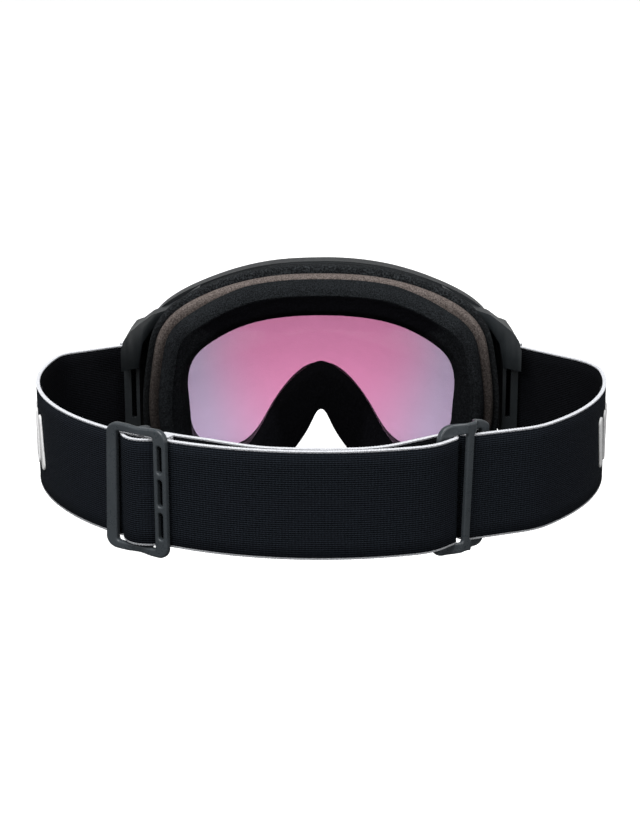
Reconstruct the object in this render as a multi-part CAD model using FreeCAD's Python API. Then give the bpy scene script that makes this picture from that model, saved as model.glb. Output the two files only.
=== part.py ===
"""Ski goggles: magnetic double lens, foam-faced frame and a two-slider elastic strap.

Millimetres. +X is the wearer's right, +Y the way the wearer looks, +Z up.
The origin is under the middle of the goggles' box, on the plane the frame stands on.
Every rigid layer is a front outline (X, Z) pushed along Y and trimmed between two upright
cylinders of one wrap radius, so the layers nest with a constant thickness along Y.
"""
import FreeCAD, Part
import math
import os

V = FreeCAD.Vector

# ---- frame outlines: right half, from the top centre round to the middle of the nose -------
FRAME_POINTS = [
    (0, 99.7), (18, 99.1), (37, 96.3), (54.5, 91.3), (65, 87), (74.5, 79.6), (78.4, 69),
    (79, 52), (78, 33), (73, 17), (63, 5.5), (50, 0.6), (38, 0.4), (28, 4), (20, 11),
    (12, 20.5), (5.5, 28.3),
]
FRAME_NOSE_TOP = 31.5
TUBE_POINTS = [
    (0, 97.9), (17.4, 97.4), (35, 94.2), (52.2, 87.8), (60.9, 81.5), (68.3, 72.1), (72, 61.6),
    (74, 46.5), (73.4, 31), (69.5, 17.5), (61, 6.4), (49, 1.2), (37, 0.8), (27, 4.5),
    (17.5, 12), (10.4, 20.2), (5, 28.8),
]
TUBE_NOSE_TOP = 35.5
FOAM_POINTS = [
    (0, 98.2), (17.4, 97.8), (35, 95.5), (48.3, 91.8), (57.5, 88), (66.2, 82.2), (71, 75.2),
    (73.2, 66), (75, 52), (74.6, 32), (70, 17.5), (61, 6.4), (49, 1.2), (37, 0.8), (27, 4.5),
    (17.5, 12), (10.4, 20.2), (5, 28.8),
]
FOAM_NOSE_TOP = 35.5
FOAM_WINDOW_POINTS = [
    (0, 78.8), (17.9, 78.1), (36.3, 74.5), (47.9, 69.1), (55.1, 63.1), (57.9, 54.6), (57.6, 45),
    (56.8, 32), (54.1, 21.3), (47, 16.7), (38.5, 17.5), (32.4, 22.6), (26, 32.6), (20, 43),
    (13.2, 51.2), (6.4, 56.6),
]
FOAM_WINDOW_NOSE_TOP = 59.3
LENS_WINDOW_POINTS = [
    (0, 80.6), (18.4, 79.9), (37.2, 76.2), (49.4, 70.9), (57.2, 64.6), (60.8, 55.4), (61.4, 45),
    (60.6, 31), (57.2, 19.6), (48.2, 13.5), (37.2, 14), (29.9, 20.4), (23.5, 31), (16.8, 40.6),
    (11, 46.6), (5.5, 50),
]
LENS_WINDOW_NOSE_TOP = 51.0
WRAP_RADIUS = 110.0

# ---- layers, as places along Y on the centre line -------------------------------------------
FACE_FOAM = (60.0, 68.0)
MID_FOAM = (68.0, 73.0)
BASE_FOAM = (73.0, 80.0)
FLANGE = (80.0, 84.0)
REAR_WEB = (84.0, 86.5)
WALLS = (86.5, 93.5)
RIM = (96.0, 105.6)
CARRIER = (96.2, 100.4)
INNER_LENS = (100.4, 101.6)
GASKET = (101.6, 106.2)
OUTER_LENS = (106.2, 108.0)
MID_FOAM_INSET = 0.8
FACE_FOAM_INSET = 2.2
FACE_WINDOW_GROWTH = 0.5
WALL = 3.0
TUBE_GROWTH = 1.0
RIM_WALL = 3.5
INNER_WALL = 2.0
LENS_CLEARANCE = 0.3
LENS_INSET = 0.8
INNER_LENS_INSET = RIM_WALL + 1.3
GASKET_WIDTH = 4.0
SOFT_GAP = 0.2

# ---- limits of the working space: cuts and blanks reach these, well outside the part ----------
THROUGH_Y = (-20.0, 130.0)
BLANK_Z = (-30.0, 130.0)
BEHIND_FRAME = 60.0
BEFORE_FRAME = 125.0
OUTSIDE = 10.0
OVERCUT = 1.0

# ---- vents, magnets and lens grips -------------------------------------------------------------
TOP_VENT_HALF_WIDTH = 53.5
TOP_VENT_Z = (60.0, 110.0)
BOTTOM_VENT_Z = (-5.0, 12.0)
VENT_LAYER = (87.0, 92.6)
VENT_DEPTH = 4.0
VENT_CUT_REACH = 4.0
VENT_FOAM_REACH = 0.8
BOTTOM_VENT_X = (33.0, 53.0)
MAGNET_RADIUS = 2.5
MAGNET_GAP = 0.1
FRAME_MAGNETS = (94.1, 95.9)
LENS_MAGNETS = (96.4, 98.2)
GRIP_GAP = 0.3
MAGNET_PLACES = [(24, 86), (66.5, 46), (44, 9.2)]
GRIP_POINTS = [(56.4, 92.5), (66, 88.6), (76, 81.2), (68.8, 82.3), (62.5, 84.6), (58, 88)]

# ---- outriggers and strap pins -----------------------------------------------------------------
ARM_LAYER = (80.2, 93.2)
ARM_POINTS = [
    (54.4, 91.2), (57.4, 89.6), (62.4, 86.2), (68.6, 83.6), (74, 82.4), (78.8, 79.3),
    (82.8, 76.4), (85.3, 73), (86.3, 69), (86.3, 60), (79.6, 60), (77.9, 70.2),
    (74.3, 75.6), (68.2, 80.4), (60.6, 85.4), (57, 87.3), (54.8, 88.6),
]
BLOCK_POINTS = [
    (79.6, 77.6), (82.8, 76.4), (85.3, 73), (86.3, 69), (86.3, 29), (85.2, 26.4), (83, 25.2),
    (80.8, 25.8), (79.6, 28),
]
BLOCK_Y = (48.0, 72.0)
CAVITY_X = (80.3, 88.0)
CAVITY_Y = (50.6, 63.5)
SLOT_X = (81.1, 83.2)
SLOT_Z = (37.4, 60.4)
PIN_X = 83.3
PIN_Y = 58.5
PIN_RADIUS = 1.25
PIN_Z = (26.8, 71.2)
PIN_CLEARANCE = 0.03

# ---- strap, in plan: a rear arc about (0, ARC_CENTRE_Y) and a bend at each side ---------------
STRAP_Z = 49.0
STRAP_DROOP = 1.4
STRAP_HALF_HEIGHT = 20.0
STRAP_HALF = 0.7
ARC_CENTRE_Y = 8.0
ARC_RADIUS = 115.3
LEFT_BEND_RADIUS = 14.0
LEFT_BEND_ANGLE = -102.0
RIGHT_BEND_RADIUS = 32.0
RIGHT_BEND_ANGLE = 90.0
CAVITY_HALF_HEIGHT = STRAP_HALF_HEIGHT + 0.8
PIN_WRAP = PIN_RADIUS + 0.1 + STRAP_HALF
ANCHOR_TAIL = 5.0
ANCHOR_X = (70.0, 92.0)
ANCHOR_Y = (30.0, 80.0)
ANCHOR_GAP = 0.2
ARC_END = {"long": 17.0, "short": 46.5}
LEAD_IN = (22.0, 32.0, 2.5)
FOLD_TURN = 168.0
FOLD_RADIUS = 3.6
FOLD_OFFSET = 1.2
BAR_FIT = 0.35
SEWN_WRAP = 3.8
SEWN_OFFSET = 1.2
SEWN_TURN = -184.0
SEWN_TAIL = 12.0
CLOSING_RADIUS = 30.0
FAR_LAYER = [(31.0, -31.4), (112.4, -14.3), (50.0, -19.0)]
FAR_LAYER_RUNS = (16.0, 9.5)
LOOP_WRAP = 1.85
LOOP_REACH = 11.0
LOOP_OVERLAP = 1.0
LOOP_RUN = 2.6
LOOP_CLOSING = (6.0, 25.0, 2.7)
PRINT_ANGLES = [71, 76.5, 82, 87.5]
PRINT_SIZE = (5.0, 22.0)
PRINT_SLANT = 14.0
PRINT_PROUD = 0.8
MARK_ROUND = 0.45
MARK_BLANK = 10.0
GRIP_ANGLES = [58, 62, 66, 70, 74, 78, 82, 86]
GRIP_SIZE = (1.4, 30.0)
GRIP_PROUD = 0.6
PRINT_GAP = 0.03

# ---- sliders, in their own frame: u along the webbing, w outwards, z up -----------------------
SLIDER_HALF_WIDTH = 12.5
SLIDER_HALF_HEIGHT = 23.9
SLIDER_CORNER = 4.0
SLIDER_WINDOW = 20.6
NARROW_BAR = 4.0
WIDE_BAR = 5.5
CENTRE_BAR = 3.2
BAR_W = (1.1, 3.4)
CENTRE_BAR_W = (-4.4, -2.8)
BAR_SLOT_WIDTH = 1.8
BAR_SLOT_LENGTH = 9.0
BAR_SLOT_PITCH = 13.0
LEFT_SLIDER_ANGLE = -33.5
RIGHT_SLIDER_TILT = 40.0


# ---- small helpers ------------------------------------------------------------------------------
def save(name, shape):
    shape.exportStep("parts/" + name + ".step")
    box = shape.BoundBox
    print("%-26s solids %2d valid %s volume %8.0f  x %.1f..%.1f y %.1f..%.1f z %.1f..%.1f" % (
        name, len(shape.Solids), shape.isValid(), shape.Volume,
        box.XMin, box.XMax, box.YMin, box.YMax, box.ZMin, box.ZMax))


def box(x_range, y_range, z_range):
    size = [high - low for low, high in (x_range, y_range, z_range)]
    return Part.makeBox(size[0], size[1], size[2], V(x_range[0], y_range[0], z_range[0]))


def mirrored(shape):
    return shape.mirror(V(0, 0, 0), V(1, 0, 0))


def edges_along_y(shape):
    return [edge for edge in shape.Edges if edge.BoundBox.YLength > 1]


def closed_curve(points):
    """A smooth closed curve through (x, z) points, in the plane y = 0."""
    curve = Part.BSplineCurve()
    curve.interpolate(Points=[V(x, 0, z) for x, z in points], PeriodicFlag=True)
    return curve


def full_outline(half, nose_top):
    left = [(-x, z) for x, z in reversed(half[1:])]
    return closed_curve(half + [(0, nose_top)] + left)


def grown(curve, distance, samples=120):
    """The closed curve moved outwards by distance; the curve runs clockwise seen from behind."""
    if distance == 0:
        return curve
    first, last = curve.FirstParameter, curve.LastParameter
    moved = []
    for i in range(samples):
        parameter = first + (last - first) * i / samples
        point = curve.value(parameter)
        along = curve.tangent(parameter)[0]
        moved.append((point.x - along.z * distance, point.z + along.x * distance))
    return closed_curve(moved)


def prism(curve):
    face = Part.Face(Part.Wire([curve.toShape()]))
    face.translate(V(0, THROUGH_Y[0], 0))
    return face.extrude(V(0, THROUGH_Y[1] - THROUGH_Y[0], 0))


def polygon_prism(points, y_range=THROUGH_Y):
    corners = [V(x, y_range[0], z) for x, z in points]
    face = Part.Face(Part.makePolygon(corners + corners[:1]))
    return face.extrude(V(0, y_range[1] - y_range[0], 0))


def slab(layer):
    """The crescent between two upright cylinders that pass through the layer's two places."""
    height = BLANK_Z[1] - BLANK_Z[0]
    near, far = [
        Part.makeCylinder(WRAP_RADIUS, height, V(0, place - WRAP_RADIUS, BLANK_Z[0]))
        for place in layer
    ]
    return far.cut(near)


def ring(outer, inner, layer):
    return prism(outer).cut(prism(inner)).common(slab(layer))


def solid_of(shape):
    """The one solid that a boolean result holds."""
    clean = shape.removeSplitter()
    return clean.Solids[0] if len(clean.Solids) == 1 else clean


class Route:
    """A plan route of straight runs and tangent arcs. Headings are degrees from +X."""

    def __init__(self, x, y, heading):
        self.x = x
        self.y = y
        self.heading = heading
        self.steps = []

    def line(self, length):
        h = math.radians(self.heading)
        end = (self.x + length * math.cos(h), self.y + length * math.sin(h))
        self.steps.append(("line", (self.x, self.y), end, self.heading))
        self.x, self.y = end
        return self

    def turn(self, radius, angle):
        """An arc to the left for a positive angle, to the right for a negative one."""
        side = 1 if angle > 0 else -1
        h = math.radians(self.heading)
        centre = (self.x - side * radius * math.sin(h), self.y + side * radius * math.cos(h))
        self.steps.append(("arc", centre, radius, side, self.heading, angle))
        self.heading += angle
        h = math.radians(self.heading)
        self.x = centre[0] + side * radius * math.sin(h)
        self.y = centre[1] - side * radius * math.cos(h)
        return self

    def side_edges(self, offset):
        """The route moved to its left by offset, as edges."""
        edges = []
        for step in self.steps:
            if step[0] == "line":
                h = math.radians(step[3])
                shift = (-offset * math.sin(h), offset * math.cos(h))
                ends = [V(x + shift[0], y + shift[1], 0) for x, y in step[1:3]]
                edges.append(Part.makeLine(ends[0], ends[1]))
            else:
                centre, radius, side, start, angle = step[1:]
                reach = radius - side * offset
                spots = []
                for part in (0, 0.5, 1):
                    h = math.radians(start + angle * part)
                    spots.append(V(centre[0] + side * reach * math.sin(h),
                                   centre[1] - side * reach * math.cos(h), 0))
                edges.append(Part.Arc(spots[0], spots[1], spots[2]).toShape())
        return edges

    def band(self, half_thickness, z_range):
        """The upright band of webbing that follows the route."""
        left = self.side_edges(half_thickness)
        right = self.side_edges(-half_thickness)
        caps = [
            Part.makeLine(left[0].firstVertex(True).Point, right[0].firstVertex(True).Point),
            Part.makeLine(left[-1].lastVertex(True).Point, right[-1].lastVertex(True).Point),
        ]
        wire = Part.Wire(Part.__sortEdges__(left + right + caps))
        face = Part.Face(wire)
        face.translate(V(0, 0, z_range[0]))
        return face.extrude(V(0, 0, z_range[1] - z_range[0]))


def arc_point(angle, radius=ARC_RADIUS):
    """A point on the rear arc, angle in degrees from straight back, positive to the right."""
    a = math.radians(angle)
    return radius * math.sin(a), ARC_CENTRE_Y - radius * math.cos(a)


def strap_z():
    return (STRAP_Z - STRAP_HALF_HEIGHT, STRAP_Z + STRAP_HALF_HEIGHT)


def tangent_run(first, second):
    """Heading and length of the straight run between two arcs, each (centre, radius, side)."""
    across = (second[0][0] - first[0][0], second[0][1] - first[0][1])
    reach = math.hypot(across[0], across[1])
    offset = second[2] * second[1] - first[2] * first[1]
    heading = math.atan2(across[1], across[0]) - math.asin(offset / reach)
    return math.degrees(heading), math.sqrt(reach ** 2 - offset ** 2)


def anchor_route(side, bend_radius, bend_angle):
    """A route from the sewn tail, round the pin and on to where the bend meets the rear arc.

    side is -1 on the left, where the route turns right round the pin, and 1 on the right.
    """
    joint = arc_point(bend_angle)
    share = bend_radius / ARC_RADIUS
    bend = (joint[0] * (1 - share), joint[1] + (ARC_CENTRE_Y - joint[1]) * share)
    pin = (side * PIN_X, PIN_Y)
    heading, run = tangent_run((pin, PIN_WRAP, side), (bend, bend_radius, -side))
    inward = heading - side * 180
    h = math.radians(inward)
    start_x = pin[0] + side * PIN_WRAP * math.sin(h) - ANCHOR_TAIL * math.cos(h)
    start_y = pin[1] - side * PIN_WRAP * math.cos(h) - ANCHOR_TAIL * math.sin(h)
    route = Route(start_x, start_y, inward)
    route.line(ANCHOR_TAIL).turn(PIN_WRAP, side * 180).line(run)
    arrival = bend_angle if side < 0 else bend_angle + 180
    bend_turn = (arrival - route.heading + 180) % 360 - 180
    return route.turn(bend_radius, bend_turn)


# ---- frame ---------------------------------------------------------------------------------------
frame_outline = full_outline(FRAME_POINTS, FRAME_NOSE_TOP)
tube_outline = full_outline(TUBE_POINTS, TUBE_NOSE_TOP)
foam_outline = full_outline(FOAM_POINTS, FOAM_NOSE_TOP)
foam_window = full_outline(FOAM_WINDOW_POINTS, FOAM_WINDOW_NOSE_TOP)
lens_window = full_outline(LENS_WINDOW_POINTS, LENS_WINDOW_NOSE_TOP)


def magnets(layer, radius=MAGNET_RADIUS):
    """Six discs let into a layer, three a side."""
    pieces = []
    length = THROUGH_Y[1] - THROUGH_Y[0]
    for x, z in MAGNET_PLACES:
        for side in (-1, 1):
            rod = Part.makeCylinder(radius, length, V(side * x, THROUGH_Y[0], z), V(0, 1, 0))
            pieces.append(rod.common(slab(layer)).Solids[0])
    return Part.makeCompound(pieces)


def vent(x_range, z_range, margin):
    """A slot through the tube's outer wall, or with a margin the foam that fills it."""
    strip = box((x_range[0] + margin, x_range[1] - margin), THROUGH_Y, z_range)
    reach = VENT_CUT_REACH if margin == 0 else VENT_FOAM_REACH
    wall = prism(grown(tube_outline, reach)).cut(prism(grown(tube_outline, margin - VENT_DEPTH)))
    wall = wall.common(strip).common(slab((VENT_LAYER[0] + margin, VENT_LAYER[1] - margin)))
    return wall if margin == 0 else wall.common(prism(frame_outline))


def top_vent(margin):
    return vent((-TOP_VENT_HALF_WIDTH, TOP_VENT_HALF_WIDTH), TOP_VENT_Z, margin)


def bottom_vent(side, margin):
    low, high = sorted(side * x for x in BOTTOM_VENT_X)
    return vent((low, high), BOTTOM_VENT_Z, margin)


def grip(margin):
    """The scalloped pad in the frame's upper right corner, where a thumb pushes the lens off."""
    pad = polygon_prism(GRIP_POINTS).common(slab((RIM[0] + margin, BEFORE_FRAME)))
    if margin == 0:
        return pad.cut(prism(grown(frame_outline, -RIM_WALL - OVERCUT)))
    return pad.cut(prism(grown(frame_outline, -RIM_WALL))).common(prism(frame_outline)).common(
        slab((RIM[0] + margin, RIM[1])))


def frame_shell():
    """One moulding, cut from the full-depth ring: tube at the rear, recess for the lens in front."""
    tube = prism(grown(tube_outline, TUBE_GROWTH))
    shell = prism(frame_outline).common(slab((REAR_WEB[0], RIM[1])))
    around = prism(grown(frame_outline, OUTSIDE)).cut(tube)
    shell = shell.cut(around.common(slab((BEHIND_FRAME, WALLS[1]))))
    shell = shell.cut(prism(lens_window))
    channel = prism(grown(tube_outline, TUBE_GROWTH - WALL))
    channel = channel.cut(prism(grown(lens_window, INNER_WALL)))
    shell = shell.cut(channel.common(slab(WALLS)))
    recess = prism(grown(frame_outline, -RIM_WALL))
    shell = shell.cut(recess.common(slab((RIM[0], BEFORE_FRAME))))
    pocket_depth = (FRAME_MAGNETS[0] - MAGNET_GAP, RIM[0] + OVERCUT)
    shell = shell.cut(magnets(pocket_depth, MAGNET_RADIUS + MAGNET_GAP))
    shell = shell.cut(top_vent(0))
    for side in (-1, 1):
        shell = shell.cut(bottom_vent(side, 0))
    pocket = grip(0)
    return solid_of(shell.cut(pocket).cut(mirrored(pocket)))


def foam_ring(layer, inset, window_growth=0.0):
    return ring(grown(foam_outline, -inset), grown(foam_window, window_growth), layer)


def outrigger():
    """The right arm: a pillar at the brow, a swept corner and the block that holds the strap."""
    arm = polygon_prism(ARM_POINTS).common(slab(ARM_LAYER))
    arm = arm.cut(prism(grown(tube_outline, TUBE_GROWTH + SOFT_GAP)))
    body = arm.fuse(polygon_prism(BLOCK_POINTS, BLOCK_Y))
    half = CAVITY_HALF_HEIGHT
    body = body.cut(box(CAVITY_X, CAVITY_Y, (STRAP_Z - half, STRAP_Z + half)))
    body = body.cut(box(SLOT_X, (BLOCK_Y[0] - OVERCUT, CAVITY_Y[0] + OVERCUT), SLOT_Z))
    return solid_of(body.cut(strap_pin(PIN_CLEARANCE)))


def strap_pin(clearance=0.0):
    height = PIN_Z[1] - PIN_Z[0] + 2 * clearance
    return Part.makeCylinder(PIN_RADIUS + clearance, height, V(PIN_X, PIN_Y, PIN_Z[0] - clearance))


# ---- lens module ----------------------------------------------------------------------------------
def lens_carrier():
    outline = grown(frame_outline, -RIM_WALL - LENS_CLEARANCE)
    pocket_depth = (CARRIER[0] - OVERCUT, LENS_MAGNETS[1] + MAGNET_GAP)
    pockets = magnets(pocket_depth, MAGNET_RADIUS + MAGNET_GAP)
    return solid_of(ring(outline, lens_window, CARRIER).cut(pockets))


def lens_sheet(inset, layer):
    return solid_of(prism(grown(frame_outline, -inset)).common(slab(layer)))


# ---- strap ----------------------------------------------------------------------------------------
def long_route():
    """Left anchor, round the back, folded at the right slider and back as the inner layer."""
    route = anchor_route(-1, LEFT_BEND_RADIUS, LEFT_BEND_ANGLE)
    route.turn(ARC_RADIUS, ARC_END["long"] - LEFT_BEND_ANGLE)
    route.turn(LEAD_IN[0], LEAD_IN[1]).line(LEAD_IN[2]).turn(FOLD_RADIUS, FOLD_TURN)
    fold = route.steps[-1][1]
    route.line(FAR_LAYER_RUNS[0])
    for radius, angle in FAR_LAYER:
        route.turn(radius, angle)
    return route.line(FAR_LAYER_RUNS[1]), fold


def short_route(bar):
    """Right anchor, round the back and sewn round the right slider's narrow bar."""
    route = anchor_route(1, RIGHT_BEND_RADIUS, RIGHT_BEND_ANGLE)
    route.turn(ARC_RADIUS, ARC_END["short"] - RIGHT_BEND_ANGLE)
    h = math.radians(route.heading)
    centre = (route.x + CLOSING_RADIUS * math.sin(h), route.y - CLOSING_RADIUS * math.cos(h))
    heading, run = tangent_run((centre, CLOSING_RADIUS, -1), (bar, SEWN_WRAP, -1))
    turn = (heading - route.heading + 180) % 360 - 180
    route.turn(CLOSING_RADIUS, turn).line(run)
    return route.turn(SEWN_WRAP, SEWN_TURN).line(SEWN_TAIL)


def loop_route():
    """The sewn end round the left slider's centre bar, in the slider's own frame."""
    middle = sum(CENTRE_BAR_W) / 2
    route = Route(LOOP_REACH, middle - LOOP_WRAP, 180)
    radius, angle, run = LOOP_CLOSING
    route.line(LOOP_REACH + LOOP_OVERLAP).turn(LOOP_WRAP, -180).line(LOOP_RUN)
    route.turn(radius, -angle).line(run).turn(radius, angle)
    return route.line(LOOP_REACH - route.x)


def reach_along(origin, tilt, distance):
    t = math.radians(tilt)
    return origin[0] + distance * math.cos(t), origin[1] + distance * math.sin(t)


def slider():
    """A plate with two outer bars over the webbing and a cranked centre bar under it."""
    half = (SLIDER_HALF_WIDTH, SLIDER_HALF_HEIGHT)
    through = (-OUTSIDE, OUTSIDE)
    window_z = (-SLIDER_WINDOW, SLIDER_WINDOW)
    plate = box((-half[0], half[0]), BAR_W, (-half[1], half[1]))
    plate = plate.makeFillet(SLIDER_CORNER, edges_along_y(plate))
    opening = (-half[0] + NARROW_BAR, half[0] - WIDE_BAR)
    plate = plate.cut(box(opening, through, window_z))
    slot_x = half[0] - WIDE_BAR / 2
    slot = (slot_x - BAR_SLOT_WIDTH / 2, slot_x + BAR_SLOT_WIDTH / 2)
    for i in (-1, 0, 1):
        middle = i * BAR_SLOT_PITCH
        slot_z = (middle - BAR_SLOT_LENGTH / 2, middle + BAR_SLOT_LENGTH / 2)
        plate = plate.cut(box(slot, through, slot_z))
    centre = (-CENTRE_BAR / 2, CENTRE_BAR / 2)
    crank = box(centre, (CENTRE_BAR_W[0], BAR_W[1]), (-half[1], half[1]))
    crank = crank.cut(box(through, (CENTRE_BAR_W[1], OUTSIDE), window_z))
    return solid_of(plate.fuse(crank))


def placed(shape, origin, tilt, flipped=False):
    """From a slider's own frame (x along, y outwards) to the goggles, standing at (x, y)."""
    shape = shape.copy()
    if not flipped:
        shape = shape.mirror(V(0, 0, 0), V(0, 1, 0))
    else:
        shape = shape.mirror(V(0, 0, 0), V(1, 0, 0))
    shape.rotate(V(0, 0, 0), V(0, 0, 1), tilt)
    shape.translate(V(origin[0], origin[1], STRAP_Z))
    return shape


def drooped(shape):
    """The strap hangs a little below level behind its pins."""
    shape = shape.copy()
    shape.rotate(V(0, PIN_Y, STRAP_Z), V(1, 0, 0), STRAP_DROOP)
    return shape


def raised_marks(side, angles, size, slant, inner, outer):
    """Rounded bars that stand on a face of the webbing, at places along the rear arc."""
    height = 2 * STRAP_Z
    shell = Part.makeCylinder(outer, height, V(0, ARC_CENTRE_Y, 0))
    shell = shell.cut(Part.makeCylinder(inner, height, V(0, ARC_CENTRE_Y, 0)))
    marks = []
    for angle in angles:
        depth = (ARC_RADIUS - MARK_BLANK / 2, ARC_RADIUS + MARK_BLANK / 2)
        mark = box((-size[0] / 2, size[0] / 2), depth, (-size[1] / 2, size[1] / 2))
        mark = mark.makeFillet(size[0] * MARK_ROUND, edges_along_y(mark))
        mark.rotate(V(0, 0, 0), V(0, 1, 0), slant)
        mark.translate(V(0, 0, STRAP_Z))
        mark.rotate(V(0, 0, 0), V(0, 0, 1), 180 + side * angle)
        mark.translate(V(0, ARC_CENTRE_Y, 0))
        marks.append(mark.common(shell).Solids[0])
    return Part.makeCompound(marks)


def build():
    os.makedirs("parts", exist_ok=True)
    save("frame_shell", frame_shell())
    save("face_flange", ring(tube_outline, lens_window, FLANGE))
    save("foam_base_layer", foam_ring(BASE_FOAM, 0))
    save("foam_mid_layer", foam_ring(MID_FOAM, MID_FOAM_INSET))
    save("foam_face_layer", foam_ring(FACE_FOAM, FACE_FOAM_INSET, FACE_WINDOW_GROWTH))
    save("top_vent_foam", solid_of(top_vent(SOFT_GAP)))
    for side, name in ((-1, "left"), (1, "right")):
        save("bottom_vent_foam_" + name, solid_of(bottom_vent(side, SOFT_GAP)))
    save("frame_magnets", magnets(FRAME_MAGNETS))
    paired = {"outrigger": outrigger(), "strap_pin": strap_pin(),
              "lens_grip": solid_of(grip(GRIP_GAP))}
    for name, shape in paired.items():
        save(name + "_right", shape)
        save(name + "_left", mirrored(shape))

    save("lens_carrier", lens_carrier())
    save("lens_magnets", magnets(LENS_MAGNETS))
    save("inner_lens", lens_sheet(INNER_LENS_INSET, INNER_LENS))
    save("lens_gasket", ring(grown(frame_outline, -INNER_LENS_INSET),
                             grown(frame_outline, -INNER_LENS_INSET - GASKET_WIDTH), GASKET))
    save("outer_lens", lens_sheet(LENS_INSET, OUTER_LENS))

    long_path, fold = long_route()
    tilt = RIGHT_SLIDER_TILT
    bars = reach_along(fold, tilt, SLIDER_HALF_WIDTH - WIDE_BAR + FOLD_OFFSET + BAR_FIT)
    narrow = reach_along(bars, tilt, SLIDER_HALF_WIDTH - NARROW_BAR / 2 - SEWN_OFFSET)
    bands = {"long": long_path.band(STRAP_HALF, strap_z()),
             "short": short_route(narrow).band(STRAP_HALF, strap_z())}
    for side, name, strap in ((-1, "left", "long"), (1, "right", "short")):
        near = sorted((side * ANCHOR_X[0], side * ANCHOR_X[1]))
        end = bands[strap].common(box(near, ANCHOR_Y, BLANK_Z))
        save("strap_end_" + name, solid_of(end))
        near = sorted((side * ANCHOR_X[0], side * (ANCHOR_X[1] + ANCHOR_GAP)))
        rest = bands[strap].cut(box(near, ANCHOR_Y, BLANK_Z))
        save("strap_" + strap, drooped(solid_of(rest)))
        outer = ARC_RADIUS + STRAP_HALF + PRINT_GAP
        save("strap_print_" + name, drooped(raised_marks(
            side, PRINT_ANGLES, PRINT_SIZE, PRINT_SLANT, outer, outer + PRINT_PROUD)))
        inner = ARC_RADIUS - STRAP_HALF - PRINT_GAP
        save("strap_grip_" + name, drooped(raised_marks(
            side, GRIP_ANGLES, GRIP_SIZE, 0, inner - GRIP_PROUD, inner)))

    left = arc_point(LEFT_SLIDER_ANGLE)
    save("slider_left", drooped(placed(slider(), left, LEFT_SLIDER_ANGLE)))
    loop = loop_route().band(STRAP_HALF, (-STRAP_HALF_HEIGHT, STRAP_HALF_HEIGHT))
    save("strap_loop_left", drooped(placed(loop, left, LEFT_SLIDER_ANGLE)))
    bar_depth = sum(BAR_W) / 2
    origin = reach_along(bars, tilt - 90, bar_depth)
    save("slider_right", drooped(placed(slider(), origin, tilt, flipped=True)))
    print("right slider turns about", bars, "left slider stands at", left)


build()
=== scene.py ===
"""Ski goggles seen from behind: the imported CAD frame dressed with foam, webbing and moulded parts.

Metres. +X is the wearer's right, +Y the way the wearer looks, +Z up, as in the CAD model.
"""
import bmesh
import math

import bpy
import numpy as np
from mathutils import Matrix, Vector


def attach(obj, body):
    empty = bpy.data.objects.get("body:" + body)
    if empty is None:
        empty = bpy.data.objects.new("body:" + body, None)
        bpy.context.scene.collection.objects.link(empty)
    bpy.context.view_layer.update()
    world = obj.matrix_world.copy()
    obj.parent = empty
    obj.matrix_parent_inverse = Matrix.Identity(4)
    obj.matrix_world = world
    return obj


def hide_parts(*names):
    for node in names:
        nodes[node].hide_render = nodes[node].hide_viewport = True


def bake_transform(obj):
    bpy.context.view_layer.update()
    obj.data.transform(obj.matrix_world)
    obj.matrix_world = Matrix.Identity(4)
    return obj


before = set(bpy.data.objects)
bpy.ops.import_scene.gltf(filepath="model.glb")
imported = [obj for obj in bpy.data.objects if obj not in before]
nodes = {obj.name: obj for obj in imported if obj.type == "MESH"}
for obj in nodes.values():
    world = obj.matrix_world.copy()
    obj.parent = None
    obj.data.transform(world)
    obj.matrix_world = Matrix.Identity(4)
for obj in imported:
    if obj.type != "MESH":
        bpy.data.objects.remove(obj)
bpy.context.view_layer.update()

MM = 0.001

# ---- outlines: right half in mm, from the top centre round to the nose --------------------------
FOAM_POINTS = [
    (0, 98.2), (17.4, 97.8), (35, 95.5), (48.3, 91.8), (57.5, 88), (66.2, 82.2), (71, 75.2),
    (73.2, 66), (75, 52), (74.6, 32), (70, 17.5), (61, 6.4), (49, 1.2), (37, 0.8), (27, 4.5),
    (17.5, 12), (10, 21), (3.8, 31.2),
]
FOAM_NOSE_TOP = 37.0
FOAM_MARKS = (0, 8.3, 12.5, 18)
WINDOW_POINTS = [
    (0, 78.8), (17.9, 78.1), (36.3, 74.5), (47.9, 69.1), (55.1, 63.1), (57.9, 54.6), (57.6, 45),
    (56.8, 32), (54.1, 21.3), (47, 16.7), (38.5, 17.5), (32.4, 22.6), (26, 32.6), (20, 43),
    (13.2, 51.2), (6.4, 56.6),
]
WINDOW_NOSE_TOP = 59.3
WINDOW_MARKS = (0, 5.9, 9.5, 16)
WRAP_RADIUS = 110.0
BASE_FRONT = 80.0

# ---- strap, in plan, mm -------------------------------------------------------------------------
PIN = (83.3, 58.5)
PIN_WRAP = 2.05
STRAP_Z = 49.0
STRAP_DROOP = math.radians(1.4)
STRAP_HALF_HEIGHT = 20.0
SELVEDGE = 0.8
ARC_CENTRE_Y = 8.0
ARC_RADIUS = 115.3
LEFT_BEND = (14.0, -102.0)
RIGHT_BEND = (32.0, 90.0)
ANCHOR_TAIL = 5.0
LEFT_SLIDER_ANGLE = -33.5
RIGHT_SLIDER_TILT = 40.0
FOLD_TO_SLIDER = 8.55
SLIDER_TO_SEWN = 9.3
BAR_DEPTH = 2.25
LONG_ARC_END = 17.0
LEAD_IN = (22.0, 32.0, 2.5)         # radius, turn, straight run
FOLD_RADIUS = 3.6
FOLD_TURN = 168.0
FOLD_PULL = 2.5                     # how much nearer the slider's stem the fold lies than its bar
FAR_RUN = 16.0
FAR_TURNS = ((31.0, -31.4), (112.4, -14.3))
FAR_SETTLED = -24.0                 # the angle from which the far layer keeps to FAR_RADIUS
FAR_END = -31.5
FAR_RADIUS = 108.05
FAR_STEP = 0.25
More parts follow.
